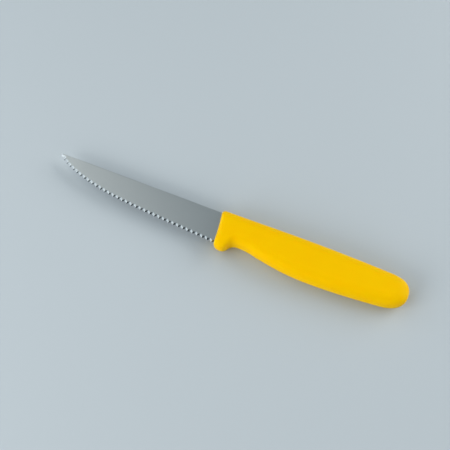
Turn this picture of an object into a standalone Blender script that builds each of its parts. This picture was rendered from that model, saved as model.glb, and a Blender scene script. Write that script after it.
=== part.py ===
"""Vegetable knife: a serrated steel blade whose tang is held inside a one-piece moulded handle.

The knife lies on its side. Its length runs along X with the tip at -X and the butt at +X, the cutting edge
faces -Y, the spine faces +Y, and the handle's flat underside rests at z = 0.
Lengths are in metres. Plan points are (x, y) pairs measured from the heel point, where the blade's spine
meets the front of the handle, with x towards the butt and y towards the spine side.
"""

import math
from typing import NamedTuple

import bmesh
import bpy
from mathutils import Vector

MM = 0.001

# Blade, measured from the handle's front and from the straight spine
BLADE_LENGTH = 101.0 * MM
HEEL_HEIGHT = 19.0 * MM
EDGE_START = 3.0 * MM  # where the cutting edge leaves the handle, which slants back
TIP_DROP = 0.8 * MM  # the tip point lies this far below the spine
CURVE_LENGTH = 34.0 * MM  # from the tip to where the edge starts to curve up
CURVE_HEIGHT = 13.65 * MM  # height of the blade there
HEEL_SLOPE = 0.057  # rise of the edge per unit of length at the heel
CURVE_SLOPE = 0.177
TIP_SLOPE = 1.1
HEEL_PULL = 26.0 * MM  # lengths of the Bezier handles along the edge
CURVE_PULL_BACK = 13.7 * MM
CURVE_PULL_FRONT = 16.4 * MM
TIP_PULL = 7.9 * MM
BLANK_THICKNESS = 1.2 * MM
EDGE_THICKNESS = 0.52 * MM  # thickness that the taper grind leaves behind the edge
EDGE_LAND = 0.06 * MM
SPINE_CHAMFER = 0.12 * MM
TIP_COLUMNS = 3  # stations on the plain stretch between the last serration and the tip

# Serrations, round grooves ground on the upper face only
FLUTE_PITCH = 2.985 * MM
FLUTE_RADIUS = 3.2 * MM
FLUTE_TILT = math.radians(24.0)
FLUTE_COLUMNS = 8

# Tang, the part of the blank inside the handle
GRIND_RUNOUT = 1.5 * MM  # where the grind fades out to the full blank
HEEL_COVER = 0.8 * MM  # full-height blank between the run-out and the tang's shoulder
TANG_TOP_DROP = 3.2 * MM
CHOIL_WALL = 2.6 * MM  # plastic between the tang and the choil
TANG_END_WALL = 27.0 * MM  # from the tang's end to the butt
TANG_END_WIDTH = 7.5 * MM
TANG_HOLES = 3
TANG_HOLE_RADIUS = 2.5 * MM
TANG_HOLE_MARGIN = 13.0 * MM  # from each end of the tang to its nearest hole
CLEARANCE = 0.3 * MM  # between the tang and the plastic around it
CUTTER_OVERRUN = 5.0 * MM  # how far the pocket's cutter stands out of the handle's front

# Handle, seen from the side
HANDLE_LENGTH = 111.2 * MM
HANDLE_THICKNESS = 12.5 * MM
FRONT_RISE = 1.2 * MM  # how far the handle stands above the spine at the front
FRONT_CORNER = 2.3 * MM
FRONT_SLANT = 0.2  # lean of the handle's front at its top, per unit of height
GUARD_SLANT = 0.08  # and at its bottom
FRONT_TOP_LEAN = 0.013  # rise of the top line behind the front corner
CROWN_RISE = 2.0 * MM
CROWN_BACK = 54.0 * MM
GRIP_HEIGHT = 22.9 * MM  # from the crown to the belly
BELLY_BACK = 56.0 * MM
BUTT_LENGTH = 13.2 * MM  # the stretch that rounds off to the butt
BUTT_DROP = 8.3 * MM
SHOULDER_FALL = 0.85 * MM  # top line at the butt's start, below the crown
SHOULDER_FALL_LEAN = 0.036
SHOULDER_LIFT = 2.55 * MM  # bottom line there, above the belly
SHOULDER_LIFT_LEAN = 0.10
SHOULDER_INSET = 2.0 * MM  # how much nearer the front the flat side begins to round off
NECK_BACK = 28.0 * MM
NECK_DEPTH = 1.8 * MM  # the underside's middle slope, below the choil
NECK_LEAN = 0.19
CHOIL_BACK = 16.2 * MM
GUARD_BACK = 7.1 * MM
GUARD_LIP = 2.3 * MM  # how far the guard reaches below the heel
GUARD_DEPTH = 5.5 * MM  # how far the guard reaches below the choil
GUARD_FRONT_SET = 2.9 * MM
GUARD_FRONT_RISE = 3.7 * MM

# Rounding of the handle, from its outline at mid-thickness in to its flat sides
SIDE_ROUNDING = 6.5 * MM
FRONT_ROUNDING = 4.0 * MM
BUTT_ROUNDING = 8.0 * MM
CHOIL_ROUNDING = 5.2 * MM
GUARD_ROUNDING = 6.2 * MM
FLAT_CORNER = 1.0 * MM
ROUNDING_POWER = 2.3
ROUNDING_STEPS = 6

SMOOTH_ANGLE = math.radians(28.0)
CURVE_SAMPLES = 60
ROUND_SIDES = 32

STEEL = (0.45, 0.47, 0.48, 1.0)
YELLOW = (0.95, 0.53, 0.001, 1.0)


def bezier_point(a, b, c, d, t):
    """Point of a cubic Bezier with end points a and d and handles b and c."""
    u = 1.0 - t
    return a * u**3 + b * 3 * u * u * t + c * 3 * u * t * t + d * t**3


def chain(knots, pulls, count):
    """Points along joined Bezier stretches. A knot is (point, direction), a pull its two handle lengths."""
    points = []
    for (start, heading), (end, arrival), (pull_out, pull_in) in zip(knots, knots[1:], pulls):
        b = start + heading.normalized() * pull_out
        c = end - arrival.normalized() * pull_in
        points += [bezier_point(start, b, c, end, i / count) for i in range(count)]
    points.append(knots[-1][0])
    return points


# Blade


def edge_line():
    """The line through the tooth points, from the handle's front to the tip."""
    heel = Vector((EDGE_START, -HEEL_HEIGHT))
    curve = Vector((CURVE_LENGTH - BLADE_LENGTH, -CURVE_HEIGHT))
    tip = Vector((-BLADE_LENGTH, -TIP_DROP))
    knots = [
        (heel, Vector((-1.0, HEEL_SLOPE))),
        (curve, Vector((-1.0, CURVE_SLOPE))),
        (tip, Vector((-1.0, TIP_SLOPE))),
    ]
    pulls = [(HEEL_PULL, CURVE_PULL_BACK), (CURVE_PULL_FRONT, TIP_PULL)]
    return chain(knots, pulls, CURVE_SAMPLES)


def line_length(points):
    return sum((b - a).length for a, b in zip(points, points[1:]))


def point_on(points, distance):
    """The point at a distance along the line and the direction there. It runs on straight past its ends."""
    for a, b in zip(points, points[1:]):
        step = (b - a).length
        if distance <= step:
            break
        distance -= step
    else:
        distance += step
    heading = (b - a).normalized()
    return a + heading * distance, heading


def taper():
    """Growth of the blade's half thickness per unit of depth in from the edge."""
    return (BLANK_THICKNESS - EDGE_THICKNESS) / 2 / HEEL_HEIGHT


def half_thickness(depth):
    """Half of the ground blade's thickness at a depth in from the edge."""
    return min(BLANK_THICKNESS / 2, EDGE_THICKNESS / 2 + taper() * depth)


def flute_depth(offset):
    """How far a flute bites in from the tooth line, at an offset along the edge from the flute's middle."""
    def sag(distance):
        return FLUTE_RADIUS - math.sqrt(FLUTE_RADIUS**2 - distance**2)

    return (sag(FLUTE_PITCH / 2) - sag(offset)) / math.sin(FLUTE_TILT)


def blade_stations(length):
    """Distances along the edge with the offset there from the nearest flute's middle, handle to tip."""
    flutes = int((length - FLUTE_PITCH / 2) // FLUTE_PITCH) + 1
    columns = flutes * FLUTE_COLUMNS
    stations = []
    for i in range(columns + 1):
        within = i % FLUTE_COLUMNS / FLUTE_COLUMNS - 0.5
        stations.append(((i / FLUTE_COLUMNS - 0.5) * FLUTE_PITCH, within * FLUTE_PITCH))
    last = stations[-1][0]
    for i in range(1, TIP_COLUMNS + 1):
        stations.append((last + (length - last) * i / TIP_COLUMNS, FLUTE_PITCH / 2))
    return stations


def blade_section(line, distance, offset):
    """One cross-section of the ground blade: seven points, from under the edge over the spine and back."""
    foot, heading = point_on(line, distance)
    inward = Vector((heading.y, -heading.x))
    height = -foot.y / inward.y
    bite = flute_depth(offset)
    low = -half_thickness(bite)
    band = (-2 * low - EDGE_LAND) / (math.tan(FLUTE_TILT) - taper())
    spine = half_thickness(height)
    near_spine = height - SPINE_CHAMFER
    profile = [
        (bite, low),
        (bite, low + EDGE_LAND),
        (min(bite + band, near_spine - SPINE_CHAMFER), half_thickness(bite + band)),
        (near_spine, half_thickness(near_spine)),
        (height, spine - SPINE_CHAMFER),
        (height, SPINE_CHAMFER - spine),
        (near_spine, -half_thickness(near_spine)),
    ]
    return [Vector((*(foot + inward * depth), z)) for depth, z in profile]


def runout_ends():
    """Where the grind has run out to the full blank: the point on the edge, and x on the spine."""
    line = edge_line()
    foot, _ = point_on(line, -FLUTE_PITCH / 2 - GRIND_RUNOUT)
    _, heading = point_on(line, -FLUTE_PITCH / 2)
    lean = -heading.y / heading.x
    return foot, foot.x + lean * HEEL_HEIGHT


def shoulder_x():
    return runout_ends()[1] + HEEL_COVER


def tang_end_x():
    return HANDLE_LENGTH - TANG_END_WALL


def choil_y():
    return GUARD_DEPTH - GUARD_LIP - HEEL_HEIGHT


def tang_edges():
    """y of the tang's top and bottom where it leaves the shoulder, and of its middle."""
    top = -TANG_TOP_DROP
    bottom = choil_y() + CHOIL_WALL
    return top, bottom, (top + bottom) / 2


def tang_outline(grow):
    """The tang seen from the side, from its top at the shoulder round its end, grown by a margin."""
    top, bottom, middle = tang_edges()
    end_radius = TANG_END_WIDTH / 2 + grow
    centre = Vector((tang_end_x() - TANG_END_WIDTH / 2, middle))
    points = [Vector((shoulder_x() + grow, top + grow))]
    steps = ROUND_SIDES // 2
    for i in range(steps + 1):
        angle = math.pi / 2 - math.pi * i / steps
        points.append(centre + Vector((math.cos(angle), math.sin(angle))) * end_radius)
    points.append(Vector((shoulder_x() + grow, bottom - grow)))
    return points


def tang_holes():
    _, _, middle = tang_edges()
    first = shoulder_x() + TANG_HOLE_MARGIN
    last = tang_end_x() - TANG_HOLE_MARGIN
    return [
        Vector((first + (last - first) * i / (TANG_HOLES - 1), middle)) for i in range(TANG_HOLES)
    ]


def blade_mesh():
    line = edge_line()
    length = line_length(line)
    bm = bmesh.new()
    sections = [
        [bm.verts.new(point) for point in blade_section(line, distance, offset)]
        for distance, offset in blade_stations(length)
    ]
    for near, far in zip(sections, sections[1:]):
        for i in range(len(near)):
            j = (i + 1) % len(near)
            bm.faces.new((near[i], near[j], far[j], far[i]))
    bm.faces.new(sections[-1])
    close_with_tang(bm, sections[0])
    bmesh.ops.recalc_face_normals(bm, faces=bm.faces)
    return to_mesh(bm, "blade")


def close_with_tang(bm, section):
    """Runs the grind out to the blank's full thickness, then adds the heel and tang as one flat plate."""
    half = BLANK_THICKNESS / 2
    foot, spine_x = runout_ends()
    outline = [foot, Vector((spine_x, 0.0)), Vector((shoulder_x(), 0.0))]
    outline += tang_outline(0.0)
    outline.append(Vector((shoulder_x(), foot.y)))
    upper = [bm.verts.new((*point, half)) for point in outline]
    lower = [bm.verts.new((*point, -half)) for point in outline]
    bm.faces.new(upper)
    bm.faces.new(lower)
    for i in range(1, len(outline)):
        j = (i + 1) % len(outline)
        bm.faces.new((upper[i], upper[j], lower[j], lower[i]))
    edge_top, spine_top = upper[0], upper[1]
    edge_low, spine_low = lower[0], lower[1]
    bm.faces.new((section[0], section[1], edge_top, edge_low))
    bm.faces.new((section[1], section[2], edge_top))
    bm.faces.new((section[2], section[3], spine_top, edge_top))
    bm.faces.new((section[3], section[4], spine_top))
    bm.faces.new((section[4], section[5], spine_low, spine_top))
    bm.faces.new((section[5], section[6], spine_low))
    bm.faces.new((section[6], section[0], edge_low, spine_low))


# Handle


class Knot(NamedTuple):
    """A point of the handle's outline at mid-thickness, with its partner on the outline of the flat side."""

    point: Vector
    flat: Vector
    heading: Vector
    reach_in: float  # lengths of the Bezier handles, as shares of the distances to the knots they point at
    reach_out: float
    steps: int  # points from here to the next knot


def handle_knots():
    """The outline's knots, from the front's top over the crown, butt, belly and choil to the guard."""
    choil = choil_y()
    guard = -HEEL_HEIGHT - GUARD_LIP
    belly = CROWN_RISE - GRIP_HEIGHT
    butt_start = HANDLE_LENGTH - BUTT_LENGTH
    shoulder_top = CROWN_RISE - SHOULDER_FALL
    shoulder_low = belly + SHOULDER_LIFT
    flat_end = butt_start - SHOULDER_INSET
    neck = choil - NECK_DEPTH
    neck_rounding = (SIDE_ROUNDING + CHOIL_ROUNDING) / 2
    guard_front = guard + GUARD_FRONT_RISE
    guard_flat = (GUARD_FRONT_SET + FRONT_ROUNDING, guard + GUARD_ROUNDING + GUARD_FRONT_RISE / 2)
    corner = Vector((0.0, FRONT_RISE))
    flat_corner = corner + Vector((FRONT_ROUNDING, -SIDE_ROUNDING))
    right, left, down = Vector((1.0, 0.0)), Vector((-1.0, 0.0)), Vector((0.0, -1.0))
    up_front = Vector((-FRONT_SLANT, 1.0)).normalized()
    along_top = Vector((1.0, FRONT_TOP_LEAN)).normalized()
    fall = Vector((1.0, -SHOULDER_FALL_LEAN))
    lift = Vector((-1.0, -SHOULDER_LIFT_LEAN))
    neck_rise = Vector((-1.0, NECK_LEAN))
    guard_rise = Vector((-GUARD_SLANT, 1.0))

    def knot(point, flat, heading, reach_in, reach_out, steps):
        return Knot(Vector(point), Vector(flat), heading.normalized(), reach_in, reach_out, steps)

    def inset(x, y, rise):
        return (x, y), (x, y + rise)

    return [
        knot(
            corner - up_front * FRONT_CORNER,
            flat_corner - up_front * FLAT_CORNER,
            up_front,
            0.33,
            0.39,
            4,
        ),
        knot(
            corner + along_top * FRONT_CORNER,
            flat_corner + along_top * FLAT_CORNER,
            along_top,
            0.39,
            0.37,
            6,
        ),
        knot(*inset(CROWN_BACK, CROWN_RISE, -SIDE_ROUNDING), right, 0.30, 0.33, 6),
        knot((butt_start, shoulder_top), (flat_end, shoulder_top - SIDE_ROUNDING), fall, 0.33, 0.45, 8),
        knot((HANDLE_LENGTH, -BUTT_DROP), (HANDLE_LENGTH - BUTT_ROUNDING, -BUTT_DROP), down, 0.48, 0.42, 8),
        knot((butt_start, shoulder_low), (flat_end, shoulder_low + SIDE_ROUNDING), lift, 0.40, 0.34, 6),
        knot(*inset(BELLY_BACK, belly, SIDE_ROUNDING), left, 0.35, 0.36, 6),
        knot(*inset(NECK_BACK, neck, neck_rounding), neck_rise, 0.33, 0.25, 4),
        knot(*inset(CHOIL_BACK, choil, CHOIL_ROUNDING), left, 0.52, 0.63, 10),
        knot(*inset(GUARD_BACK, guard, GUARD_ROUNDING), left, 0.48, 0.60, 6),
        knot((GUARD_FRONT_SET, guard_front), guard_flat, guard_rise, 0.30, 0.33, 4),
    ]


def closed_outline(knots, flat_side):
    """Points round the closed chain of Bezier stretches through the knots, without repeating the first."""
    points = []
    for start, end in zip(knots, knots[1:] + knots[:1]):
        a, d = (start.flat, end.flat) if flat_side else (start.point, end.point)
        size = (d - a).length
        b = a + start.heading * start.reach_out * size
        c = d - end.heading * end.reach_in * size
        points += [bezier_point(a, b, c, d, i / start.steps) for i in range(start.steps)]
    return points


def handle_ring(outer, flat, angle):
    """One ring of the handle's rounding, from 0 at mid-thickness to a quarter turn at the flat side."""
    share = 1.0 - math.cos(abs(angle)) ** (2 / ROUNDING_POWER)
    rise = math.sin(abs(angle)) ** (2 / ROUNDING_POWER) * HANDLE_THICKNESS / 2
    return [
        Vector((*a.lerp(b, share), math.copysign(rise, angle))) for a, b in zip(outer, flat)
    ]


def handle_mesh():
    knots = handle_knots()
    outer = closed_outline(knots, flat_side=False)
    flat = closed_outline(knots, flat_side=True)
    bm = bmesh.new()
    rings = []
    for step in range(-ROUNDING_STEPS, ROUNDING_STEPS + 1):
        angle = step / ROUNDING_STEPS * math.pi / 2
        if abs(step) == ROUNDING_STEPS:
            points = [Vector((*b, math.copysign(HANDLE_THICKNESS / 2, step))) for b in flat]
        else:
            points = handle_ring(outer, flat, angle)
        rings.append([bm.verts.new(point) for point in points])
    for low, high in zip(rings, rings[1:]):
        for i in range(len(low)):
            j = (i + 1) % len(low)
            bm.faces.new((low[i], low[j], high[j], high[i]))
    bm.faces.new(rings[0])
    bm.faces.new(rings[-1])
    bmesh.ops.recalc_face_normals(bm, faces=bm.faces)
    return to_mesh(bm, "handle")


def pocket_mesh():
    """The space that the heel and tang take inside the handle, with the clearance around them."""
    half = BLANK_THICKNESS / 2 + CLEARANCE
    foot, _ = runout_ends()
    outline = [Vector((-CUTTER_OVERRUN, CLEARANCE)), Vector((shoulder_x() + CLEARANCE, CLEARANCE))]
    outline += tang_outline(CLEARANCE)
    outline.append(Vector((shoulder_x() + CLEARANCE, foot.y - CLEARANCE)))
    outline.append(Vector((-CUTTER_OVERRUN, foot.y - CLEARANCE)))
    bm = bmesh.new()
    base = bm.faces.new([bm.verts.new((*point, -half)) for point in outline])
    made = bmesh.ops.extrude_face_region(bm, geom=[base])
    top = [item for item in made["geom"] if isinstance(item, bmesh.types.BMVert)]
    bmesh.ops.translate(bm, verts=top, vec=(0.0, 0.0, 2 * half))
    bmesh.ops.recalc_face_normals(bm, faces=bm.faces)
    return to_mesh(bm, "tang_pocket")


# Shared


def to_mesh(bm, name):
    mesh = bpy.data.meshes.new(name)
    bm.to_mesh(mesh)
    bm.free()
    mesh.shade_smooth()
    mesh.set_sharp_from_angle(angle=SMOOTH_ANGLE)
    return mesh


def material(name, colour, roughness, metallic):
    made = bpy.data.materials.new(name)
    made.use_nodes = True
    shader = made.node_tree.nodes["Principled BSDF"]
    shader.inputs["Base Color"].default_value = colour
    shader.inputs["Roughness"].default_value = roughness
    shader.inputs["Metallic"].default_value = metallic
    made.diffuse_color = colour
    return made


def add_object(name, mesh, parent):
    made = bpy.data.objects.new(name, mesh)
    bpy.context.scene.collection.objects.link(made)
    made.parent = parent
    return made


def as_guide(obj):
    obj.hide_render = True
    obj.display_type = "WIRE"
    return obj


def cut(target, cutter):
    modifier = target.modifiers.new("cut_" + cutter.name, "BOOLEAN")
    modifier.operation = "DIFFERENCE"
    modifier.solver = "EXACT"
    modifier.object = cutter


def cylinder_guides(name, radius, parent):
    """One upright cylinder at each of the tang's holes, as long as the handle is thick."""
    guides = []
    for number, centre in enumerate(tang_holes(), start=1):
        bm = bmesh.new()
        bmesh.ops.create_cone(
            bm,
            cap_ends=True,
            segments=ROUND_SIDES,
            radius1=radius,
            radius2=radius,
            depth=HANDLE_THICKNESS,
        )
        guide = as_guide(add_object(f"{name}_{number}", to_mesh(bm, name), parent))
        guide.location = (*centre, 0.0)
        guides.append(guide)
    return guides


def heel_point():
    """Place of the heel point in the part's frame, whose origin is the middle of the underside."""
    lowest_y = min(-HEEL_HEIGHT - GUARD_LIP, CROWN_RISE - GRIP_HEIGHT)
    middle_x = (HANDLE_LENGTH - BLADE_LENGTH) / 2
    middle_y = (CROWN_RISE + lowest_y) / 2
    return Vector((-middle_x, -middle_y, HANDLE_THICKNESS / 2))


def main():
    for obj in list(bpy.data.objects):
        bpy.data.objects.remove(obj)
    heel = bpy.data.objects.new("heel", None)
    bpy.context.scene.collection.objects.link(heel)
    heel.location = heel_point()

    blade = add_object("blade", blade_mesh(), heel)
    blade.data.materials.append(material("satin_steel", STEEL, 0.32, 1.0))
    for guide in cylinder_guides("tang_hole", TANG_HOLE_RADIUS, heel):
        cut(blade, guide)

    pocket = as_guide(add_object("tang_pocket", pocket_mesh(), heel))
    for guide in cylinder_guides("locking_post", TANG_HOLE_RADIUS - CLEARANCE, heel):
        cut(pocket, guide)
    handle = add_object("handle", handle_mesh(), heel)
    handle.data.materials.append(material("yellow_polypropylene", YELLOW, 0.45, 0.0))
    cut(handle, pocket)


main()
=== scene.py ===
"""Looks of the vegetable knife: fine meshes and node materials for its blade and handle, and a plain studio.

The knife lies on its side, with its length along X, the tip at -X, the cutting edge at -Y and the floor at
z = 0. Both pieces are modelled from the heel point, where the blade's spine meets the front of the handle at
mid-thickness, with x towards the butt and y towards the spine side. Lengths are in metres.
"""

import math
from typing import NamedTuple

import bmesh
import bpy
from bpy.props import FloatProperty, FloatVectorProperty, IntProperty, PointerProperty
from bpy.types import Operator, Panel, PropertyGroup
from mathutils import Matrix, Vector


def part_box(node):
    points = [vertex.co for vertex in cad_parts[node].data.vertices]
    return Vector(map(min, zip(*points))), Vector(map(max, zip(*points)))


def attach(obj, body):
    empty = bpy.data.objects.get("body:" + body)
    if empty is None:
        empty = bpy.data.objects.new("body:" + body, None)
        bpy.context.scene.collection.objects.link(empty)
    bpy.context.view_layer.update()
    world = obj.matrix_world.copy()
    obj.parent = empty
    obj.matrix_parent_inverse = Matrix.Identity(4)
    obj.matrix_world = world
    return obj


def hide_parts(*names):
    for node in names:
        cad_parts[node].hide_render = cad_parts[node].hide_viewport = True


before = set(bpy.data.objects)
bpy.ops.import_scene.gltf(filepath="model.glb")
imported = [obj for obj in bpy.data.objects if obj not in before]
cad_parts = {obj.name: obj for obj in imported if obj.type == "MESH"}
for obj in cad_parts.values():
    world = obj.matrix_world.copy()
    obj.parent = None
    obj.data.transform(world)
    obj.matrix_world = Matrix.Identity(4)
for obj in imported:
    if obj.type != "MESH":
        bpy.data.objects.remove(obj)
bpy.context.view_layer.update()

bl_info = {
    "name": "Vegetable knife",
    "version": (1, 0, 0),
    "blender": (4, 5, 0),
    "location": "View3D > Sidebar > Knife",
    "description": "Models the blade and handle of a vegetable knife, with finishes, in a plain studio",
    "category": "Mesh",
}

MM = 0.001
BLADE_LOW, BLADE_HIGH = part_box("blade")
HANDLE_LOW, HANDLE_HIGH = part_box("handle")
BLADE_LENGTH = 101.0 * MM  # from the handle's front to the tip
HEEL = Vector((BLADE_LOW.x + BLADE_LENGTH, BLADE_HIGH.y, (HANDLE_LOW.z + HANDLE_HIGH.z) / 2))


# Settings


def size(name, description, millimetres):
    """A length property, given in millimetres."""
    return FloatProperty(
        name=name, description=description, default=millimetres * MM, unit="LENGTH", subtype="DISTANCE"
    )


def ratio(name, description, default):
    """A property that is a number without a unit."""
    return FloatProperty(name=name, description=description, default=default)


def angle(name, description, degrees):
    """An angle property, given in degrees."""
    return FloatProperty(
        name=name, description=description, default=math.radians(degrees), unit="ROTATION", subtype="ANGLE"
    )


def colour(name, description, default):
    """A colour property."""
    return FloatVectorProperty(
        name=name, description=description, default=default, subtype="COLOR", size=3, min=0.0, max=1.0
    )


def count(name, description, default):
    """A property that is a whole number of at least 1."""
    return IntProperty(name=name, description=description, default=default, min=1)


class BladeSizes(PropertyGroup):
    """Sizes of the blade and its tang, measured from the handle's front and from the straight spine."""

    length: size("Length", "From the handle's front to the tip", BLADE_LENGTH / MM)
    heel_height: size("Heel height", "From the spine to the edge at the handle", 19.0)
    edge_start: size("Edge start", "How far inside the handle the edge begins", 3.0)
    tip_drop: size("Tip drop", "How far the tip lies below the spine", 0.8)
    curve_length: size("Curve length", "From the tip to where the edge starts to curve up", 34.0)
    curve_height: size("Curve height", "Height of the blade where the edge starts to curve up", 13.65)
    heel_slope: ratio("Heel slope", "Rise of the edge per unit of length at the heel", 0.057)
    curve_slope: ratio("Curve slope", "Rise of the edge where it starts to curve up", 0.177)
    tip_slope: ratio("Tip slope", "Rise of the edge at the tip", 1.1)
    heel_pull: size("Heel pull", "Length of the edge curve's handle at the heel", 26.0)
    curve_pull_back: size("Curve pull back", "Length of its handle towards the heel", 13.7)
    curve_pull_front: size("Curve pull front", "Length of its handle towards the tip", 16.4)
    tip_pull: size("Tip pull", "Length of its handle at the tip", 7.9)
    stock: size("Stock", "Thickness of the blank", 1.2)
    edge_thickness: size("Edge thickness", "What the taper grind leaves behind the edge", 0.52)
    edge_land: size("Edge land", "Thickness of the cutting edge", 0.06)
    spine_rounding: size("Spine rounding", "Radius of the spine's two corners", 0.12)
    flute_pitch: size("Flute pitch", "From one serration to the next", 2.985)
    flute_radius: size("Flute radius", "Radius of the grooves ground for the serrations", 3.2)
    flute_tilt: angle("Flute tilt", "Angle between a groove and the blade's face", 24.0)
    bend_start: size("Bend start", "From the tip to where the blade begins to bend down a little", 17.0)
    bend_length: size("Bend length", "The stretch over which it bends", 7.0)
    bend: angle("Bend", "How far it bends there", 2.0)
    grind_runout: size("Grind run-out", "Where the grind fades out to the full blank", 1.5)
    heel_cover: size("Heel cover", "Full-height blank between the run-out and the tang's shoulder", 0.8)
    tang_top_drop: size("Tang top drop", "From the spine to the top of the tang", 3.2)
    choil_wall: size("Choil wall", "Plastic between the tang and the choil", 2.6)
    tang_end_wall: size("Tang end wall", "From the tang's end to the butt", 27.0)
    tang_end_width: size("Tang end width", "Width of the tang's round end", 7.5)
    tang_hole_radius: size("Tang hole radius", "Radius of the holes that the plastic fills", 2.5)
    tang_hole_margin: size("Tang hole margin", "From each end of the tang to its nearest hole", 13.0)
    tang_holes: count("Tang holes", "How many holes the tang has", 3)


class HandleSizes(PropertyGroup):
    """Sizes of the handle, seen from the side, and of the rounding from its outline to its sides."""

    length: size("Length", "From the heel point to the butt", (HANDLE_HIGH.x - HEEL.x) / MM)
    thickness: size("Thickness", "Across the two sides", (HANDLE_HIGH.z - HANDLE_LOW.z) / MM)
    front_rise: size("Front rise", "How far the handle stands above the spine at the front", 1.2)
    front_corner: size("Front corner", "Size of the rounded corner at the front's top", 2.3)
    front_slant: ratio("Front slant", "Lean of the front at its top, per unit of height", 0.2)
    guard_slant: ratio("Guard slant", "Lean of the front at its bottom", 0.08)
    front_top_lean: ratio("Top lean", "Rise of the top line behind the front corner", 0.013)
    crown_rise: size("Crown rise", "Height of the top line above the spine", 2.0)
    crown_back: size("Crown back", "From the front to the highest place of the top line", 54.0)
    grip_height: size("Grip height", "From the crown to the belly", 22.9)
    belly_back: size("Belly back", "From the front to the belly", 56.0)
    butt_length: size("Butt length", "The stretch that rounds off to the butt", 13.2)
    butt_drop: size("Butt drop", "From the spine's line down to the butt's end", 8.3)
    shoulder_fall: size("Shoulder fall", "Top line at the butt's start, below the crown", 0.85)
    shoulder_fall_lean: ratio("Shoulder fall lean", "Fall of the top line there", 0.036)
    shoulder_lift: size("Shoulder lift", "Bottom line there, above the belly", 2.55)
    shoulder_lift_lean: ratio("Shoulder lift lean", "Rise of the bottom line there", 0.10)
    shoulder_inset: size("Shoulder inset", "How much nearer the front the flat side rounds off", 2.0)
    neck_back: size("Neck back", "From the front to the underside's middle slope", 28.0)
    neck_depth: size("Neck depth", "That slope's place below the choil", 1.8)
    neck_lean: ratio("Neck lean", "That slope's fall per unit of length", 0.19)
    choil_back: size("Choil back", "From the front to the choil", 16.2)
    guard_back: size("Guard back", "From the front to the guard's lowest place", 7.1)
    guard_lip: size("Guard lip", "How far the guard reaches below the heel", 2.3)
    guard_depth: size("Guard depth", "How far the guard reaches below the choil", 5.5)
    guard_front_set: size("Guard front set", "How far back the guard's front lies", 2.9)
    guard_front_rise: size("Guard front rise", "Its height above the guard's lowest place", 3.7)
    side_rounding: size("Side rounding", "Width of the rounding along the top and the belly", 6.5)
    front_rounding: size("Front rounding", "Width of the rounding at the front", 4.0)
    butt_rounding: size("Butt rounding", "Width of the rounding at the butt", 8.0)
    choil_rounding: size("Choil rounding", "Width of the rounding at the choil", 5.2)
    guard_rounding: size("Guard rounding", "Width of the rounding at the guard", 6.2)
    flat_corner: size("Flat corner", "Size of the flat side's corner at the front", 1.0)
    rounding_power: ratio("Rounding power", "Fullness of the rounding, with 2 for a true ellipse", 2.3)
    side_crown: ratio("Side crown", "Share of the thickness that the sides lose at their edges", 0.045)
    parting_height: size("Parting line height", "How far the mould's parting line stands out", 0.05)
    parting_width: size("Parting line width", "Width of the mould's parting line", 0.24)
    gate_radius: size("Gate radius", "Radius of the round gate mark in the butt", 1.4)
    gate_depth: size("Gate depth", "Depth of the gate mark", 0.35)
    steel_gap: size("Steel gap", "Shrinkage gap between the plastic and the steel", 0.03)


class Detail(PropertyGroup):
    """How finely the two meshes are divided."""

    flute_columns: count("Flute columns", "Columns across one serration", 20)
    flute_rows: count("Flute rows", "Rows up a serration", 6)
    face_rows: count("Face rows", "Rows across each face of the blade", 8)
    spine_rows: count("Spine rows", "Rows round each corner of the spine", 5)
    tip_columns: count("Tip columns", "Columns between the last serration and the tip", 16)
    tang_end_steps: count("Tang end steps", "Straight pieces round the tang's end", 16)
    curve_samples: count("Curve samples", "Straight pieces in each stretch of the edge line", 120)
    outline_density: count("Outline density", "Divisions of each step of the handle's outline", 4)
    rounding_steps: count("Rounding steps", "Rings from mid-thickness to the side", 20)
    crown_rings: count("Crown rings", "Rings from the side's edge towards its middle", 8)
    innermost_ring: ratio("Innermost ring", "How far in towards that middle the last ring lies", 0.9)
    round_sides: count("Round sides", "Sides of the small round shapes", 48)


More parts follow.
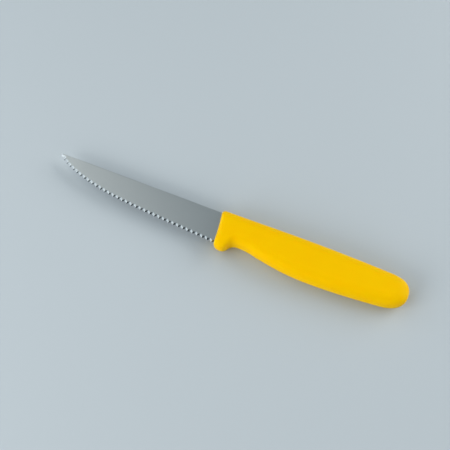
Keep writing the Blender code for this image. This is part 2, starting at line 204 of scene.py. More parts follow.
class Finishes(PropertyGroup):
    """Colours and finishes of the steel and the plastic."""

    steel: colour("Steel", "Colour of the blade's steel", (0.424, 0.458, 0.476))
    steel_dull: colour("Dull steel", "Colour of its duller patches", (0.396, 0.429, 0.447))
    face_roughness: ratio("Face roughness", "Roughness of the blade's satin faces", 0.34)
    flute_roughness: ratio("Flute roughness", "Roughness of the serrations", 0.23)
    face_line_width: size("Face line width", "Width of the faces' fine grinding lines", 0.12)
    face_line_depth: size("Face line depth", "Depth of those lines", 0.0012)
    flute_line_width: size("Flute line width", "Width of the serrations' finer lines", 0.06)
    flute_line_depth: size("Flute line depth", "Depth of those lines", 0.0006)
    line_stretch: ratio("Line stretch", "Width of a grinding line as a share of its length", 0.008)
    line_band: ratio("Line band", "Width of the broader bands, in widths of a line", 9.0)
    line_band_depth: ratio("Line band depth", "Their depth, as a share of a line's", 0.7)
    steel_patch: size("Steel patch", "Size of the steel's duller patches", 14.0)
    steel_patch_share: ratio("Steel patch share", "Their part in the steel's colour, beside the lines'", 0.6)
    steel_patch_matt: ratio("Steel patch matt", "Change in roughness from patch to patch", 0.04)
    steel_line_matt: ratio("Steel line matt", "Change in roughness from line to line", 0.06)
    yellow: colour("Yellow", "Colour of the handle", (0.95, 0.55, 0.0005))
    yellow_deep: colour("Deep yellow", "Colour of its slightly deeper patches", (0.93, 0.525, 0.0005))
    yellow_patch: size("Yellow patch", "Size of those patches", 18.0)
    gloss_tint: colour("Gloss tint", "Colour of the plastic's head-on reflections", (1.0, 0.85, 0.0))
    glow: ratio("Glow", "Share of the light that enters the plastic and comes out nearby", 0.25)
    glow_depth: size("Glow depth", "How far that light travels", 2.5)
    glow_reach: colour("Glow reach", "Share of that distance for each colour", (1.0, 0.5, 0.2))
    plastic_roughness: ratio("Plastic roughness", "Roughness of the handle's satin surface", 0.5)
    plastic_patch_matt: ratio("Plastic patch matt", "Change in roughness from patch to patch", 0.04)
    plastic_grain_matt: ratio("Plastic grain matt", "Change in roughness from grain to grain", 0.02)
    plastic_gloss: ratio("Plastic gloss", "Strength of its reflections, with 0.5 as the usual one", 0.13)
    grain_size: size("Grain size", "Size of the moulded texture's grains", 0.22)
    grain_depth: size("Grain depth", "Depth of the moulded texture", 0.006)
    wave_size: size("Wave size", "Size of the faint waves that cooling leaves in the plastic", 7.0)
    wave_depth: size("Wave depth", "Depth of those waves", 0.03)
    rub_width: size("Rub width", "Width of the streaks that handling rubs smoother", 0.5)
    rub_stretch: ratio("Rub stretch", "Their width as a share of their length", 0.06)
    rub_gloss: ratio("Rub gloss", "How much smoother the strongest of them are", 0.12)


class Studio(PropertyGroup):
    """Floor, lamps, surroundings and camera."""

    floor: colour("Floor", "Colour of the floor", (0.489, 0.54, 0.58))
    floor_size: size("Floor size", "Length of the floor's sides", 30000.0)
    floor_roughness: ratio("Floor roughness", "Roughness of the floor", 0.85)
    floor_gloss: ratio("Floor gloss", "Strength of its reflections, with 0.5 as the usual one", 0.2)
    surroundings: colour("Surroundings", "Colour of the light from all round", (0.268, 0.319, 0.343))
    shade_level: ratio("Shade level", "Share of that light that comes from the room's dark side", 0.12)
    shade_azimuth: angle("Shade azimuth", "Where the dark side lies, round the knife", 66.0)
    shade_elevation: angle("Shade elevation", "How high its middle lies", 40.0)
    shade_rim: ratio("Shade rim", "Cosine of the angle from its middle to its rim", 0.7)
    shade_core: ratio("Shade core", "Cosine of the angle to where it is darkest", 0.92)
    lamp_distance: size("Lamp distance", "From each lamp to the place that the camera looks at", 900.0)
    window_strength: ratio("Window strength", "Brightness of the high lamp over the tip", 1.16)
    left_strength: ratio("Left strength", "Brightness of the low lamp beyond the tip", 1.6)
    front_strength: ratio("Front strength", "Brightness of the main lamp, over the edge", 5.35)
    low_strength: ratio("Low strength", "Brightness of the wide lamp close to the floor", 1.8)
    back_strength: ratio("Back strength", "Brightness of the high lamp behind the tip", 1.03)
    right_strength: ratio("Right strength", "Brightness of the lamp behind the butt", 4.6)
    side_strength: ratio("Side strength", "Brightness of the low lamp that fills in the guard", 2.3)
    camera_azimuth: angle("Camera azimuth", "Round the knife, from straight behind the edge", 22.95)
    camera_elevation: angle("Camera elevation", "Above the floor", 63.0)
    camera_distance: size("Camera distance", "From the camera to the place it looks at", 472.5)
    aim_along: size("Aim along", "That place, from the heel towards the butt", 4.49)
    aim_across: size("Aim across", "That place, from the spine towards the edge", 6.15)
    lens: FloatProperty(
        name="Lens", description="Focal length of the camera", default=68.0, unit="CAMERA", min=1.0
    )


class KnifeSettings(PropertyGroup):
    """All the settings of the knife."""

    blade: PointerProperty(type=BladeSizes, name="Blade", description="Sizes of the blade")
    handle: PointerProperty(type=HandleSizes, name="Handle", description="Sizes of the handle")
    detail: PointerProperty(type=Detail, name="Detail", description="Fineness of the meshes")
    finishes: PointerProperty(type=Finishes, name="Finishes", description="Colours and finishes")
    studio: PointerProperty(type=Studio, name="Studio", description="Floor, lamps and camera")


# Curves


def bezier_point(a, b, c, d, t):
    """Point of a cubic Bezier with end points a and d and handles b and c."""
    u = 1.0 - t
    return a * u**3 + b * 3 * u * u * t + c * 3 * u * t * t + d * t**3


def chain(knots, pulls, samples):
    """Points along joined Bezier stretches. A knot is (point, direction), a pull its two handle lengths."""
    points = []
    for (start, heading), (end, arrival), (pull_out, pull_in) in zip(knots, knots[1:], pulls):
        b = start + heading.normalized() * pull_out
        c = end - arrival.normalized() * pull_in
        points += [bezier_point(start, b, c, end, i / samples) for i in range(samples)]
    points.append(knots[-1][0])
    return points


def line_length(points):
    """Length of the line through the points."""
    return sum((b - a).length for a, b in zip(points, points[1:]))


def point_on(points, distance):
    """The point at a distance along the line and the direction there. It runs on straight past its ends."""
    for a, b in zip(points, points[1:]):
        step = (b - a).length
        if distance <= step:
            break
        distance -= step
    else:
        distance += step
    heading = (b - a).normalized()
    return a + heading * distance, heading


def spread(start, end, steps):
    """Evenly spaced values from start to end, after start itself."""
    return [start + (end - start) * i / steps for i in range(1, steps + 1)]


# Blade


def edge_line(sizes, samples):
    """The line through the tooth points, from the handle's front to the tip."""
    heel = Vector((sizes.edge_start, -sizes.heel_height))
    curve = Vector((sizes.curve_length - sizes.length, -sizes.curve_height))
    tip = Vector((-sizes.length, -sizes.tip_drop))
    knots = [
        (heel, Vector((-1.0, sizes.heel_slope))),
        (curve, Vector((-1.0, sizes.curve_slope))),
        (tip, Vector((-1.0, sizes.tip_slope))),
    ]
    pulls = [(sizes.heel_pull, sizes.curve_pull_back), (sizes.curve_pull_front, sizes.tip_pull)]
    return chain(knots, pulls, samples)


def taper(sizes):
    """Growth of the blade's half thickness per unit of depth in from the edge."""
    return (sizes.stock - sizes.edge_thickness) / 2 / sizes.heel_height


def half_thickness(sizes, depth):
    """Half of the ground blade's thickness at a depth in from the edge."""
    return min(sizes.stock / 2, sizes.edge_thickness / 2 + taper(sizes) * depth)


def flute_depth(sizes, offset):
    """How far a flute bites in from the tooth line, at an offset along the edge from the flute's middle."""

    def sag(distance):
        return sizes.flute_radius - math.sqrt(sizes.flute_radius**2 - distance**2)

    return (sag(sizes.flute_pitch / 2) - sag(offset)) / math.sin(sizes.flute_tilt)


def bend_drop(sizes, x):
    """How far the blade's middle lies below the straight blade, at a place along it."""
    beyond = sizes.bend_start - sizes.length - x
    if beyond <= 0:
        return 0.0
    slope = math.tan(sizes.bend)
    if beyond < sizes.bend_length:
        return slope * beyond**2 / sizes.bend_length / 2
    return slope * (beyond - sizes.bend_length / 2)


def blade_stations(sizes, detail, length):
    """Distances along the edge with the offset there from the nearest flute's middle, handle to tip."""
    pitch = sizes.flute_pitch
    columns = detail.flute_columns
    flutes = int((length - pitch / 2) // pitch) + 1
    stations = []
    for i in range(flutes * columns + 1):
        within = i % columns / columns - 0.5
        stations.append(((i / columns - 0.5) * pitch, within * pitch))
    last = stations[-1][0]
    stations += [(distance, pitch / 2) for distance in spread(last, length, detail.tip_columns)]
    return stations


def ground_profile(sizes, detail, height, bite):
    """(depth, z) pairs round a section: under the edge, up the flute, over the face and spine, and back."""
    low = -half_thickness(sizes, bite)
    land = low + sizes.edge_land
    rise = math.tan(sizes.flute_tilt)
    band = (-low - land) / (rise - taper(sizes))
    radius = sizes.spine_rounding
    face_end = height - radius
    support = face_end - radius  # a row close to the rounding, which keeps the face's shading flat
    flute_end = min(bite + band, support - radius)

    def upper(depth):
        return min(half_thickness(sizes, depth), land + rise * (depth - bite))

    top = upper(face_end)
    bottom = -half_thickness(sizes, face_end)
    across = min(radius, (top - bottom) / 2)
    rows = detail.spine_rows
    turn = [math.pi / 2 * i / rows for i in range(1, rows + 1)]
    over = [(face_end + radius * math.sin(a), across * (1 - math.cos(a))) for a in turn]
    points = [(bite, low), (bite, land)]
    points += [(depth, upper(depth)) for depth in spread(bite, flute_end, detail.flute_rows)]
    points += [(depth, upper(depth)) for depth in spread(flute_end, support, detail.face_rows)]
    points.append((face_end, top))
    points += [(depth, top - drop) for depth, drop in over]
    points += [(depth, bottom + drop) for depth, drop in reversed(over)]
    points.append((face_end, bottom))
    points.append((support, -half_thickness(sizes, support)))
    back = spread(support, bite, detail.face_rows)[:-1]
    points += [(depth, -half_thickness(sizes, depth)) for depth in back]
    return points


def upper_points(detail):
    """How many points of a profile lie on its upper side, after the first one."""
    return 2 + detail.flute_rows + detail.face_rows + detail.spine_rows


def runout_ends(sizes, line):
    """Where the grind has run out to the full blank: the point on the edge, and the direction of its end."""
    foot, _ = point_on(line, -sizes.flute_pitch / 2 - sizes.grind_runout)
    _, heading = point_on(line, -sizes.flute_pitch / 2)
    lean = -heading.y / heading.x
    return foot, Vector((lean * sizes.heel_height, sizes.heel_height))


def choil_y(handle, blade):
    """Where the choil's deepest place lies, between the spine's line and the guard."""
    return handle.guard_depth - handle.guard_lip - blade.heel_height


def tang_outline(blade, handle, detail, shoulder):
    """The tang seen from the side, from its top at the shoulder round its end, and its middle line's y."""
    top = -blade.tang_top_drop
    bottom = choil_y(handle, blade) + blade.choil_wall
    radius = blade.tang_end_width / 2
    centre = Vector((tang_end_x(blade, handle) - radius, (top + bottom) / 2))
    points = [Vector((shoulder, top))]
    steps = detail.tang_end_steps
    for i in range(steps + 1):
        turn = math.pi / 2 - math.pi * i / steps
        points.append(centre + Vector((math.cos(turn), math.sin(turn))) * radius)
    points.append(Vector((shoulder, bottom)))
    return points, centre.y


def tang_end_x(blade, handle):
    """Where the tang ends, measured from the handle's front."""
    return handle.length - blade.tang_end_wall


def blade_mesh(blade, handle, detail):
    """The ground blade with its run-out, heel and tang. Faces in the flutes take the second material."""
    line = edge_line(blade, detail.curve_samples)
    bm = bmesh.new()
    sections = []
    for distance, offset in blade_stations(blade, detail, line_length(line)):
        foot, heading = point_on(line, distance)
        inward = Vector((heading.y, -heading.x))
        height = -foot.y / inward.y
        profile = ground_profile(blade, detail, height, flute_depth(blade, offset))
        section = []
        for depth, z in profile:
            place = foot + inward * depth
            section.append(bm.verts.new((*place, z - bend_drop(blade, place.x))))
        sections.append(section)
    start, across = runout_ends(blade, line)
    sections.insert(0, runout_section(bm, blade, detail, start, across))
    for near, far in zip(sections, sections[1:]):
        for i in range(len(near)):
            j = (i + 1) % len(near)
            face = bm.faces.new((near[i], near[j], far[j], far[i]))
            face.material_index = 1 if 1 <= i <= detail.flute_rows else 0
    bm.faces.new(sections[-1])
    middle = add_tang(bm, blade, handle, detail, sections[0], start.y)
    bmesh.ops.recalc_face_normals(bm, faces=bm.faces)
    return to_mesh(bm, "blade"), middle


def runout_section(bm, blade, detail, start, across):
    """The end of the grind: the blank's full rectangle, with as many points as a ground section."""
    profile = ground_profile(blade, detail, blade.heel_height, 0.0)
    upper = upper_points(detail)
    half = blade.stock / 2
    points = []
    for i, (depth, _) in enumerate(profile):
        place = start + across * depth / blade.heel_height
        points.append(bm.verts.new((place.x, place.y, half if 1 <= i <= upper else -half)))
    return points


def add_tang(bm, blade, handle, detail, section, foot_y):
    """Adds the heel and tang as one flat plate behind the end of the grind."""
    half = blade.stock / 2
    upper_end = upper_points(detail)
    shoulder = section[upper_end].co.x + blade.heel_cover
    tang, middle = tang_outline(blade, handle, detail, shoulder)
    outline = [Vector((shoulder, 0.0))] + tang + [Vector((shoulder, foot_y))]
    upper = [bm.verts.new((*point, half)) for point in outline]
    lower = [bm.verts.new((*point, -half)) for point in outline]
    bm.faces.new(section[1 : upper_end + 1] + upper)
    bm.faces.new([section[0]] + section[:upper_end:-1] + lower)
    upper_rim = [section[upper_end]] + upper + [section[1]]
    lower_rim = [section[upper_end + 1]] + lower + [section[0]]
    for i in range(len(upper_rim) - 1):
        bm.faces.new((upper_rim[i], upper_rim[i + 1], lower_rim[i + 1], lower_rim[i]))
    return middle


def tang_hole_places(blade, handle, middle, shoulder):
    """Middles of the tang's holes, evenly spaced between the first and the last."""
    first = shoulder + blade.tang_hole_margin
    last = tang_end_x(blade, handle) - blade.tang_hole_margin
    places = [first] + spread(first, last, blade.tang_holes - 1)
    return [Vector((x, middle, 0.0)) for x in places]


# Handle


class Knot(NamedTuple):
    """A point of the handle's outline at mid-thickness, with its partner on the outline of the side."""

    point: Vector
    flat: Vector
    heading: Vector
    reach_in: float  # lengths of the Bezier handles, as shares of the distances to the knots they point at
    reach_out: float
    steps: int  # points from here to the next knot


def handle_knots(sizes, blade):
    """The outline's knots, from the front's top over the crown, butt, belly and choil to the guard."""
    choil = choil_y(sizes, blade)
    guard = -blade.heel_height - sizes.guard_lip
    belly = sizes.crown_rise - sizes.grip_height
    side = sizes.side_rounding
    butt_start = sizes.length - sizes.butt_length
    butt = (sizes.length, -sizes.butt_drop)
    shoulder_top = sizes.crown_rise - sizes.shoulder_fall
    shoulder_low = belly + sizes.shoulder_lift
    flat_end = butt_start - sizes.shoulder_inset
    neck_rounding = (side + sizes.choil_rounding) / 2
    guard_front = guard + sizes.guard_front_rise
    guard_flat = (
        sizes.guard_front_set + sizes.front_rounding,
        guard + sizes.guard_rounding + sizes.guard_front_rise / 2,
    )
    corner = Vector((0.0, sizes.front_rise))
    flat_corner = corner + Vector((sizes.front_rounding, -side))
    right, left, down = Vector((1.0, 0.0)), Vector((-1.0, 0.0)), Vector((0.0, -1.0))
    up_front = Vector((-sizes.front_slant, 1.0)).normalized()
    along_top = Vector((1.0, sizes.front_top_lean)).normalized()
    fall = Vector((1.0, -sizes.shoulder_fall_lean))
    lift = Vector((-1.0, -sizes.shoulder_lift_lean))
    neck_rise = Vector((-1.0, sizes.neck_lean))
    guard_rise = Vector((-sizes.guard_slant, 1.0))

    def knot(point, flat, heading, reach_in, reach_out, steps):
        return Knot(Vector(point), Vector(flat), heading.normalized(), reach_in, reach_out, steps)

    def inset(x, y, rise):
        return (x, y), (x, y + rise)

    front_low = (corner - up_front * sizes.front_corner, flat_corner - up_front * sizes.flat_corner)
    front_top = (corner + along_top * sizes.front_corner, flat_corner + along_top * sizes.flat_corner)
    return [
        knot(*front_low, up_front, 0.33, 0.39, 4),
        knot(*front_top, along_top, 0.39, 0.37, 6),
        knot(*inset(sizes.crown_back, sizes.crown_rise, -side), right, 0.30, 0.33, 6),
        knot((butt_start, shoulder_top), (flat_end, shoulder_top - side), fall, 0.33, 0.45, 8),
        knot(butt, (butt[0] - sizes.butt_rounding, butt[1]), down, 0.48, 0.42, 8),
        knot((butt_start, shoulder_low), (flat_end, shoulder_low + side), lift, 0.40, 0.34, 6),
        knot(*inset(sizes.belly_back, belly, side), left, 0.35, 0.36, 6),
        knot(*inset(sizes.neck_back, choil - sizes.neck_depth, neck_rounding), neck_rise, 0.33, 0.25, 4),
        knot(*inset(sizes.choil_back, choil, sizes.choil_rounding), left, 0.52, 0.63, 10),
        knot(*inset(sizes.guard_back, guard, sizes.guard_rounding), left, 0.48, 0.60, 6),
        knot((sizes.guard_front_set, guard_front), guard_flat, guard_rise, 0.30, 0.33, 4),
    ]


def closed_outline(knots, density, flat_side):
    """Points round the closed chain of Bezier stretches through the knots, without repeating the first."""
    points = []
    for start, end in zip(knots, knots[1:] + knots[:1]):
        a, d = (start.flat, end.flat) if flat_side else (start.point, end.point)
        length = (d - a).length
        b = a + start.heading * start.reach_out * length
        c = d - end.heading * end.reach_in * length
        steps = start.steps * density
        points += [bezier_point(a, b, c, d, i / steps) for i in range(steps)]
    return points


def crown_line(sizes, blade):
    """The middle line of the sides, where the handle is thickest: its front and its back end."""
    front_x = sizes.front_rounding + sizes.choil_rounding
    low = choil_y(sizes, blade) + sizes.choil_rounding
    front_y = (sizes.front_rise - sizes.side_rounding + low) / 2
    back_x = sizes.length - 2 * sizes.butt_rounding
    return Vector((front_x, front_y)), Vector((back_x, -sizes.butt_drop))


def on_crown_line(ends, x):
    """The point of the middle line that is nearest to x."""
    front, back = ends
    share = min(1.0, max(0.0, (x - front.x) / (back.x - front.x)))
    return front.lerp(back, share)


def rounding_profile(sizes, detail):
    """(share of the way in, height, way out) of each ring, with the parting line's ridge in the middle."""
    half = sizes.thickness / 2
    steps = detail.rounding_steps
    power = 2 / sizes.rounding_power
    rings = []
    for i in range(1, steps):
        turn = i / steps * math.pi / 2
        rings.append((1.0 - math.cos(turn) ** power, half * math.sin(turn) ** power, 0.0))
    rings.append((1.0, half, 0.0))
    ridge = [(0.0, sizes.parting_width / 2, 0.0)]
    upper = ridge + rings
    lower = [(share, -z, out) for share, z, out in reversed(upper)]
    return lower + [(0.0, 0.0, sizes.parting_height)] + upper


def handle_mesh(sizes, blade, detail):
    """The handle's closed skin: rings round its outline, and rings in towards the middle of both sides."""
    knots = handle_knots(sizes, blade)
    outer = closed_outline(knots, detail.outline_density, flat_side=False)
    flat = closed_outline(knots, detail.outline_density, flat_side=True)
    ends = crown_line(sizes, blade)
    half_height = sizes.grip_height / 2
    bm = bmesh.new()

    def ring(points, z):
        made = []
        for point in points:
            away = (point.y - on_crown_line(ends, point.x).y) / half_height
            made.append(bm.verts.new((*point, z * (1.0 - sizes.side_crown * away**2))))
        return made

    inner = []
    for share in spread(0.0, detail.innermost_ring, detail.crown_rings):
        inner.append([point.lerp(on_crown_line(ends, point.x), share) for point in flat])
    half = sizes.thickness / 2
    rings = [ring(points, -half) for points in reversed(inner)]
    for share, z, out in rounding_profile(sizes, detail):
        points = [a.lerp(b, share) + (a - b).normalized() * out for a, b in zip(outer, flat)]
        rings.append(ring(points, z))
    rings += [ring(points, half) for points in inner]
    for low, high in zip(rings, rings[1:]):
        for i in range(len(low)):
            j = (i + 1) % len(low)
            bm.faces.new((low[i], low[j], high[j], high[i]))
    bm.faces.new(rings[0])
    bm.faces.new(rings[-1])
    bmesh.ops.recalc_face_normals(bm, faces=bm.faces)
    return to_mesh(bm, "handle")


def grown_blade(mesh, gap):
    """A copy of the blade's mesh, larger all round by the shrinkage gap."""
    bm = bmesh.new()
    bm.from_mesh(mesh)
    bm.normal_update()
    for vertex in bm.verts:
        vertex.co += vertex.normal * gap
    return to_mesh(bm, "steel_space")


# (share of the radius, share of the depth) from the gate mark's middle to its rim. A depth share of 0 is its
# bottom and 1 the butt's surface. The last point lies well outside the butt, as a cutter's must.
GATE_PROFILE = ((0.0, 0.55), (0.22, 0.5), (0.34, 0.2), (0.42, 0.0), (0.86, 0.0), (1.0, 0.4), (1.0, 5.0))


def gate_mesh(sizes, detail):
    """A shallow round cutter for the gate mark, with its axis along X and a low nub left in its middle."""
    bm = bmesh.new()
    sides = detail.round_sides
    turns = [2 * math.pi * (i + 0.5) / sides for i in range(sides)]  # no corner lies on the parting line
    rings = []
    for share, lift in GATE_PROFILE:
        x = sizes.gate_depth * (lift - 1.0)
        reach = sizes.gate_radius * share
        if share == 0:
            centre = bm.verts.new((x, 0.0, 0.0))
        else:
            rings.append([bm.verts.new((x, reach * math.cos(a), reach * math.sin(a))) for a in turns])
    for i in range(sides):
        j = (i + 1) % sides
        bm.faces.new((centre, rings[0][i], rings[0][j]))
        for near, far in zip(rings, rings[1:]):
            bm.faces.new((near[i], far[i], far[j], near[j]))
    bm.faces.new(rings[-1])
    bmesh.ops.recalc_face_normals(bm, faces=bm.faces)
    return to_mesh(bm, "gate")


# Shared modelling


SHARP_ANGLE = math.radians(18.0)


def to_mesh(bm, name):
    """Turns the bmesh into a mesh and frees it."""
    mesh = bpy.data.meshes.new(name)
    bm.to_mesh(mesh)
    bm.free()
    return mesh


def add_object(name, mesh, location):
    """A new object in the scene."""
    made = bpy.data.objects.new(name, mesh)
    bpy.context.scene.collection.objects.link(made)
    made.location = location
    return made


def smooth(mesh):
    """Shades the mesh smooth between its sharp edges."""
    mesh.shade_smooth()
    mesh.set_sharp_from_angle(angle=SHARP_ANGLE)


def carve(target, cutters):
    """Cuts the cutters out of the target for good, and removes them."""
    for cutter in cutters:
        modifier = target.modifiers.new(cutter.name, "BOOLEAN")
        modifier.operation = "DIFFERENCE"
        modifier.solver = "EXACT"
        modifier.object = cutter
    depsgraph = bpy.context.evaluated_depsgraph_get()
    carved = bpy.data.meshes.new_from_object(target.evaluated_get(depsgraph))
    target.modifiers.clear()
    target.data = carved
    for cutter in cutters:
        bpy.data.objects.remove(cutter)


def cylinder(name, radius, depth, sides, place):
    """An upright cylinder, placed from the heel point."""
    bm = bmesh.new()
    bmesh.ops.create_cone(bm, cap_ends=True, segments=sides, radius1=radius, radius2=radius, depth=depth)
    return add_object(name, to_mesh(bm, name), HEEL + place)


# Shader nodes


class Signal:
    """An output socket. Arithmetic on it adds Math nodes to its tree."""

    def __init__(self, nodes, socket):
        self.nodes = nodes
        self.socket = socket

    def math(self, operation, first, second):
        """The result of a Math node on two numbers or sockets."""
        return self.nodes.add("ShaderNodeMath", {"operation": operation}, {0: first, 1: second})

    def __add__(self, other):
        return self.math("ADD", self, other)

    __radd__ = __add__

    def __sub__(self, other):
        return self.math("SUBTRACT", self, other)

    def __rsub__(self, other):
        return self.math("SUBTRACT", other, self)

    def __mul__(self, other):
        return self.math("MULTIPLY", self, other)

    __rmul__ = __mul__


class Nodes:
    """A node tree that is filled one call at a time."""

    def __init__(self, tree):
        self.tree = tree
        tree.nodes.clear()

    def add(self, kind, settings=None, inputs=None, output=0):
        """Adds a node, with its settings set first and then its sockets' values or links."""
        node = self.tree.nodes.new(kind)
        for name, value in (settings or {}).items():
            setattr(node, name, value)
        for name, value in (inputs or {}).items():
            if isinstance(value, Signal):
                self.tree.links.new(value.socket, node.inputs[name])
            else:
                node.inputs[name].default_value = value
        if not node.outputs:
            return None
        return Signal(self, node.outputs[output])

    def place(self):
        """The point on the piece, in metres from the heel point."""
        return self.add("ShaderNodeTexCoord", output="Object")

    def noise(self, place, feature, stretch=(1.0, 1.0, 1.0), detail=2.0, roughness=0.5):
        """Soft noise with features of about that size, drawn out along each axis whose stretch is small."""
        scaled = self.add("ShaderNodeVectorMath", {"operation": "MULTIPLY"}, {0: place, 1: stretch})
        inputs = {"Vector": scaled, "Scale": 1.0 / feature, "Detail": detail, "Roughness": roughness}
        return self.add("ShaderNodeTexNoise", {}, inputs)

    def blend(self, factor, first, second):
        """A colour between two others, which may be colours or sockets."""
        factor_socket, first_socket, second_socket, result = 0, 6, 7, 2  # the Mix node's places for colours
        ends = [end if isinstance(end, Signal) else (*end, 1.0) for end in (first, second)]
        inputs = {factor_socket: factor, first_socket: ends[0], second_socket: ends[1]}
        return self.add("ShaderNodeMix", {"data_type": "RGBA"}, inputs, result)

    def ramp(self, value, low, high):
        """A smooth step from 0 where the value is low to 1 where it is high."""
        inputs = {"Value": value, "From Min": low, "From Max": high}
        return self.add("ShaderNodeMapRange", {"interpolation_type": "SMOOTHSTEP"}, inputs)

    def bump(self, height):
        """The surface's normal with a relief on it, whose height is in metres."""
        return self.add("ShaderNodeBump", {}, {"Height": height, "Distance": 1.0})


def new_material(name):
    """A material with an empty node tree, and the tree."""
    made = bpy.data.materials.new(name)
    made.use_nodes = True
    return made, Nodes(made.node_tree)


def principled(nodes, inputs):
    """Ends a material with a Principled shader."""
    shader = nodes.add("ShaderNodeBsdfPrincipled", {}, inputs)
    nodes.add("ShaderNodeOutputMaterial", {}, {"Surface": shader})


def steel_material(name, finishes, roughness, line_width, line_depth):
    """Ground stainless steel, with duller patches and fine lines that run across the blade."""
    made, nodes = new_material(name)
    place = nodes.place()
    across = (1.0, finishes.line_stretch, finishes.line_stretch)
    lines = nodes.noise(place, line_width, across, detail=3.0, roughness=0.6)
    bands = nodes.noise(place, line_width * finishes.line_band, across, detail=1.0)
    patches = nodes.noise(place, finishes.steel_patch)
    dullness = patches * finishes.steel_patch_share + lines * (1.0 - finishes.steel_patch_share)
    matt = (lines - 0.5) * finishes.steel_line_matt + (patches - 0.5) * finishes.steel_patch_matt
    principled(
        nodes,
        {
            "Base Color": nodes.blend(dullness, finishes.steel, finishes.steel_dull),
            "Metallic": 1.0,
            "Roughness": roughness + matt,
            "Normal": nodes.bump((lines + bands * finishes.line_band_depth) * line_depth),
        },
    )
    return made


RUBBED_STREAKS = (0.55, 0.75)  # noise values at which a rubbed streak sets in and is full
RUBBED_PLACES = (0.4, 0.6)  # the same for the patches, which keep the streaks to some places


def plastic_material(name, finishes):
    """Satin moulded polypropylene, with a very fine texture, faint waves, and streaks rubbed smoother."""
    made, nodes = new_material(name)
    place = nodes.place()
    grain = nodes.noise(place, finishes.grain_size)
    patches = nodes.noise(place, finishes.yellow_patch)
    waves = nodes.noise(place, finishes.wave_size, detail=0.0)
    along = (finishes.rub_stretch, 1.0, 1.0)
    streaks = nodes.noise(place, finishes.rub_width, along, detail=4.0, roughness=0.6)
    rubbed = nodes.ramp(streaks, *RUBBED_STREAKS) * nodes.ramp(patches, *RUBBED_PLACES)
    matt = (patches - 0.5) * finishes.plastic_patch_matt + (grain - 0.5) * finishes.plastic_grain_matt
    principled(
        nodes,
        {
            "Base Color": nodes.blend(patches, finishes.yellow, finishes.yellow_deep),
            "Roughness": finishes.plastic_roughness + matt - rubbed * finishes.rub_gloss,
            "Specular IOR Level": finishes.plastic_gloss,
            "Specular Tint": (*finishes.gloss_tint, 1.0),
            "Subsurface Weight": finishes.glow,
            "Subsurface Scale": finishes.glow_depth,
            "Subsurface Radius": finishes.glow_reach,
            "Normal": nodes.bump(grain * finishes.grain_depth + waves * finishes.wave_depth),
        },
    )
    return made


# Studio


class Lamp(NamedTuple):
    """A large soft lamp that faces the knife."""

    name: str
    azimuth: float  # round the knife in degrees, as for the camera
    elevation: float
    width: float
    height: float
    colour: tuple


LAMPS = {
    "window_strength": Lamp("window_lamp", -64.0, 50.0, 0.80, 0.44, (0.93, 0.98, 1.0)),
    "left_strength": Lamp("left_lamp", -88.0, 20.0, 0.60, 0.40, (0.95, 0.98, 1.0)),
    "front_strength": Lamp("front_lamp", -35.0, 27.0, 0.72, 0.36, (1.0, 0.99, 0.96)),
    "low_strength": Lamp("low_lamp", -38.0, 9.0, 1.10, 0.20, (1.0, 0.99, 0.96)),
    "back_strength": Lamp("back_lamp", -116.0, 52.0, 0.36, 0.70, (1.0, 0.97, 0.90)),
    "right_strength": Lamp("right_lamp", 128.0, 27.0, 0.85, 0.50, (1.0, 0.98, 0.95)),
    "side_strength": Lamp("side_lamp", 45.0, 12.0, 0.60, 0.25, (1.0, 0.99, 0.96)),
}


def bearing(azimuth, elevation):
    """Direction from the knife, with azimuth 0 straight behind the edge. Both are in radians."""
    level = math.cos(elevation)
    return Vector((math.sin(azimuth) * level, -math.cos(azimuth) * level, math.sin(elevation)))


def facing(direction):
    """Rotation that points a lamp or camera against the direction in which it lies."""
    return (-direction).to_track_quat("-Z", "Y").to_euler()


def add_lamp(lamp, strength, distance, aim):
    """Adds a lamp. Its strength is its brightness seen from the knife: 1 is a white that just clips."""
    data = bpy.data.lights.new(lamp.name, "AREA")
    data.shape = "RECTANGLE"
    data.size = lamp.width
    data.size_y = lamp.height
    data.energy = strength * math.pi * lamp.width * lamp.height
    data.color = lamp.colour
    direction = bearing(math.radians(lamp.azimuth), math.radians(lamp.elevation))
    made = bpy.data.objects.new(lamp.name, data)
    bpy.context.scene.collection.objects.link(made)
    made.location = aim + direction * distance
    made.rotation_euler = facing(direction)
    made.visible_camera = False


def add_surroundings(studio):
    """Even light from all round, with a dark side to the right of the camera."""
    world = bpy.data.worlds.new("surroundings")
    world.use_nodes = True
    bpy.context.scene.world = world
    nodes = Nodes(world.node_tree)
    place = nodes.add("ShaderNodeTexCoord", output="Generated")
    shade = bearing(studio.shade_azimuth, studio.shade_elevation)
    toward = nodes.add("ShaderNodeVectorMath", {"operation": "DOT_PRODUCT"}, {0: place, 1: shade}, "Value")
    dark = [part * studio.shade_level for part in studio.surroundings]
    shaded = nodes.blend(nodes.ramp(toward, studio.shade_rim, studio.shade_core), studio.surroundings, dark)
    light = nodes.add("ShaderNodeBackground", {}, {"Color": shaded})
    nodes.add("ShaderNodeOutputWorld", {}, {"Surface": light})


def add_floor(studio):
    """The plain floor that the knife lies on."""
    bm = bmesh.new()
    bmesh.ops.create_grid(bm, x_segments=1, y_segments=1, size=studio.floor_size / 2)
    floor = add_object("floor", to_mesh(bm, "floor"), Vector())
    made, nodes = new_material("pale_floor")
    principled(
        nodes,
        {
            "Base Color": (*studio.floor, 1.0),
            "Roughness": studio.floor_roughness,
            "Specular IOR Level": studio.floor_gloss,
        },
    )
    floor.data.materials.append(made)


def add_camera(studio, aim):
    """The camera, at the photograph's viewing angle."""
    data = bpy.data.cameras.new("camera")
    data.lens = studio.lens
    camera = bpy.data.objects.new("camera", data)
    bpy.context.scene.collection.objects.link(camera)
    direction = bearing(studio.camera_azimuth, studio.camera_elevation)
    camera.location = aim + direction * studio.camera_distance
    camera.rotation_euler = facing(direction)
    bpy.context.scene.camera = camera


# Operators


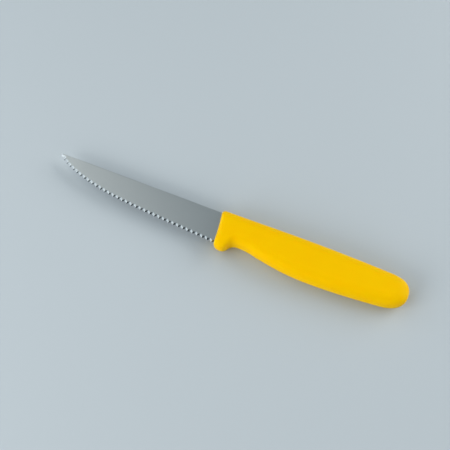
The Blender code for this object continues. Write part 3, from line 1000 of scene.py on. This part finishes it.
class KNIFE_OT_blade(Operator):
    """Models the serrated blade with its tang, and gives it its steel"""

    bl_idname = "knife.blade"
    bl_label = "Model blade"

    def execute(self, context):
        settings = context.scene.knife
        blade = settings.blade
        handle = settings.handle
        detail = settings.detail
        finishes = settings.finishes
        mesh, middle = blade_mesh(blade, handle, detail)
        satin = (finishes.face_roughness, finishes.face_line_width, finishes.face_line_depth)
        ground = (finishes.flute_roughness, finishes.flute_line_width, finishes.flute_line_depth)
        mesh.materials.append(steel_material("satin_face", finishes, *satin))
        mesh.materials.append(steel_material("ground_flute", finishes, *ground))
        piece = add_object("serrated_blade", mesh, HEEL)
        start, across = runout_ends(blade, edge_line(blade, detail.curve_samples))
        shoulder = start.x + across.x + blade.heel_cover
        holes = []
        radius = blade.tang_hole_radius
        for number, place in enumerate(tang_hole_places(blade, handle, middle, shoulder), start=1):
            name = f"tang_hole_{number}"
            holes.append(cylinder(name, radius, handle.thickness, detail.round_sides, place))
        carve(piece, holes)
        smooth(piece.data)
        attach(piece, "root")
        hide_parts("blade")
        return {"FINISHED"}


class KNIFE_OT_handle(Operator):
    """Models the moulded handle around the blade, and gives it its plastic"""

    bl_idname = "knife.handle"
    bl_label = "Model handle"

    def execute(self, context):
        settings = context.scene.knife
        sizes = settings.handle
        detail = settings.detail
        blade = bpy.data.objects["serrated_blade"]
        mesh = handle_mesh(sizes, settings.blade, detail)
        mesh.materials.append(plastic_material("yellow_plastic", settings.finishes))
        piece = add_object("moulded_handle", mesh, HEEL)
        steel_space = add_object("steel_space", grown_blade(blade.data, sizes.steel_gap), HEEL)
        butt = Vector((sizes.length, -sizes.butt_drop, 0.0))
        gate = add_object("gate", gate_mesh(sizes, detail), HEEL + butt)
        carve(piece, [steel_space, gate])
        smooth(piece.data)
        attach(piece, "root")
        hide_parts("handle")
        return {"FINISHED"}


class KNIFE_OT_studio(Operator):
    """Sets up the pale floor, the soft lamps and the camera"""

    bl_idname = "knife.studio"
    bl_label = "Set up studio"

    def execute(self, context):
        studio = context.scene.knife.studio
        aim = HEEL + Vector((studio.aim_along, -studio.aim_across, 0.0))
        add_floor(studio)
        add_surroundings(studio)
        for name, lamp in LAMPS.items():
            add_lamp(lamp, getattr(studio, name), studio.lamp_distance, aim)
        add_camera(studio, aim)
        context.scene.view_settings.view_transform = "Standard"
        return {"FINISHED"}


class KNIFE_PT_panel(Panel):
    """Lists the steps that build the knife, and its settings"""

    bl_idname = "KNIFE_PT_panel"
    bl_label = "Vegetable knife"
    bl_space_type = "VIEW_3D"
    bl_region_type = "UI"
    bl_category = "Knife"

    def draw(self, context):
        for step in STEPS:
            self.layout.operator(step.bl_idname)
        for part in ("blade", "handle", "detail", "finishes", "studio"):
            box = self.layout.box()
            box.label(text=part.capitalize())
            group = getattr(context.scene.knife, part)
            for name in group.__annotations__:
                box.prop(group, name)


STEPS = (KNIFE_OT_blade, KNIFE_OT_handle, KNIFE_OT_studio)
CLASSES = (BladeSizes, HandleSizes, Detail, Finishes, Studio, KnifeSettings, *STEPS, KNIFE_PT_panel)


def register():
    for cls in CLASSES:
        bpy.utils.register_class(cls)
    bpy.types.Scene.knife = PointerProperty(type=KnifeSettings)


def unregister():
    del bpy.types.Scene.knife
    for cls in reversed(CLASSES):
        bpy.utils.unregister_class(cls)


def main():
    """Models the knife in its studio."""
    register()
    bpy.ops.knife.blade()
    bpy.ops.knife.handle()
    bpy.ops.knife.studio()


if __name__ == "__main__":
    main()
